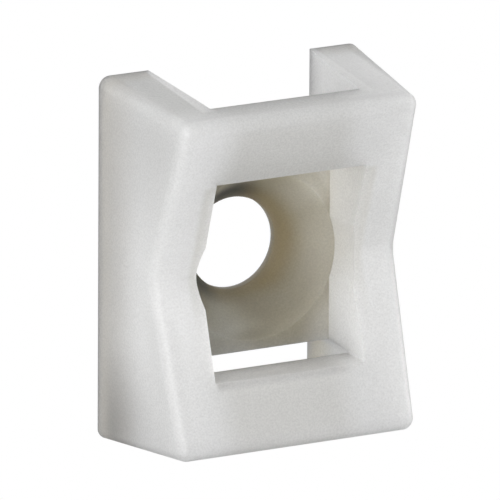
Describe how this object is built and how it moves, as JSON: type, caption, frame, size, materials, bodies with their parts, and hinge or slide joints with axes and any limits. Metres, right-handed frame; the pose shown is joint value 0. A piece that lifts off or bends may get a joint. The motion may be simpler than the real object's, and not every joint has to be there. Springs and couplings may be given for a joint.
{
  "type": "cable tie mount",
  "caption": "Screw-down cable tie mount in natural nylon: V saddle, countersunk floor, and a tie passage behind two cross bars.",
  "frame": {"origin": "centre of the screw hole on the mounting face", "axes": "+Z out of the mounting face towards the saddle, Y along the length from bar to bar, X across the cheeks along the saddle's crease"},
  "size_m": [0.0172, 0.022, 0.009],
  "materials": {
    "natural_nylon": "fine matte moulded skin on translucent natural nylon"
  },
  "bodies": {
    "root": {"tie_mount": "natural_nylon"}
  },
  "joints": []
}
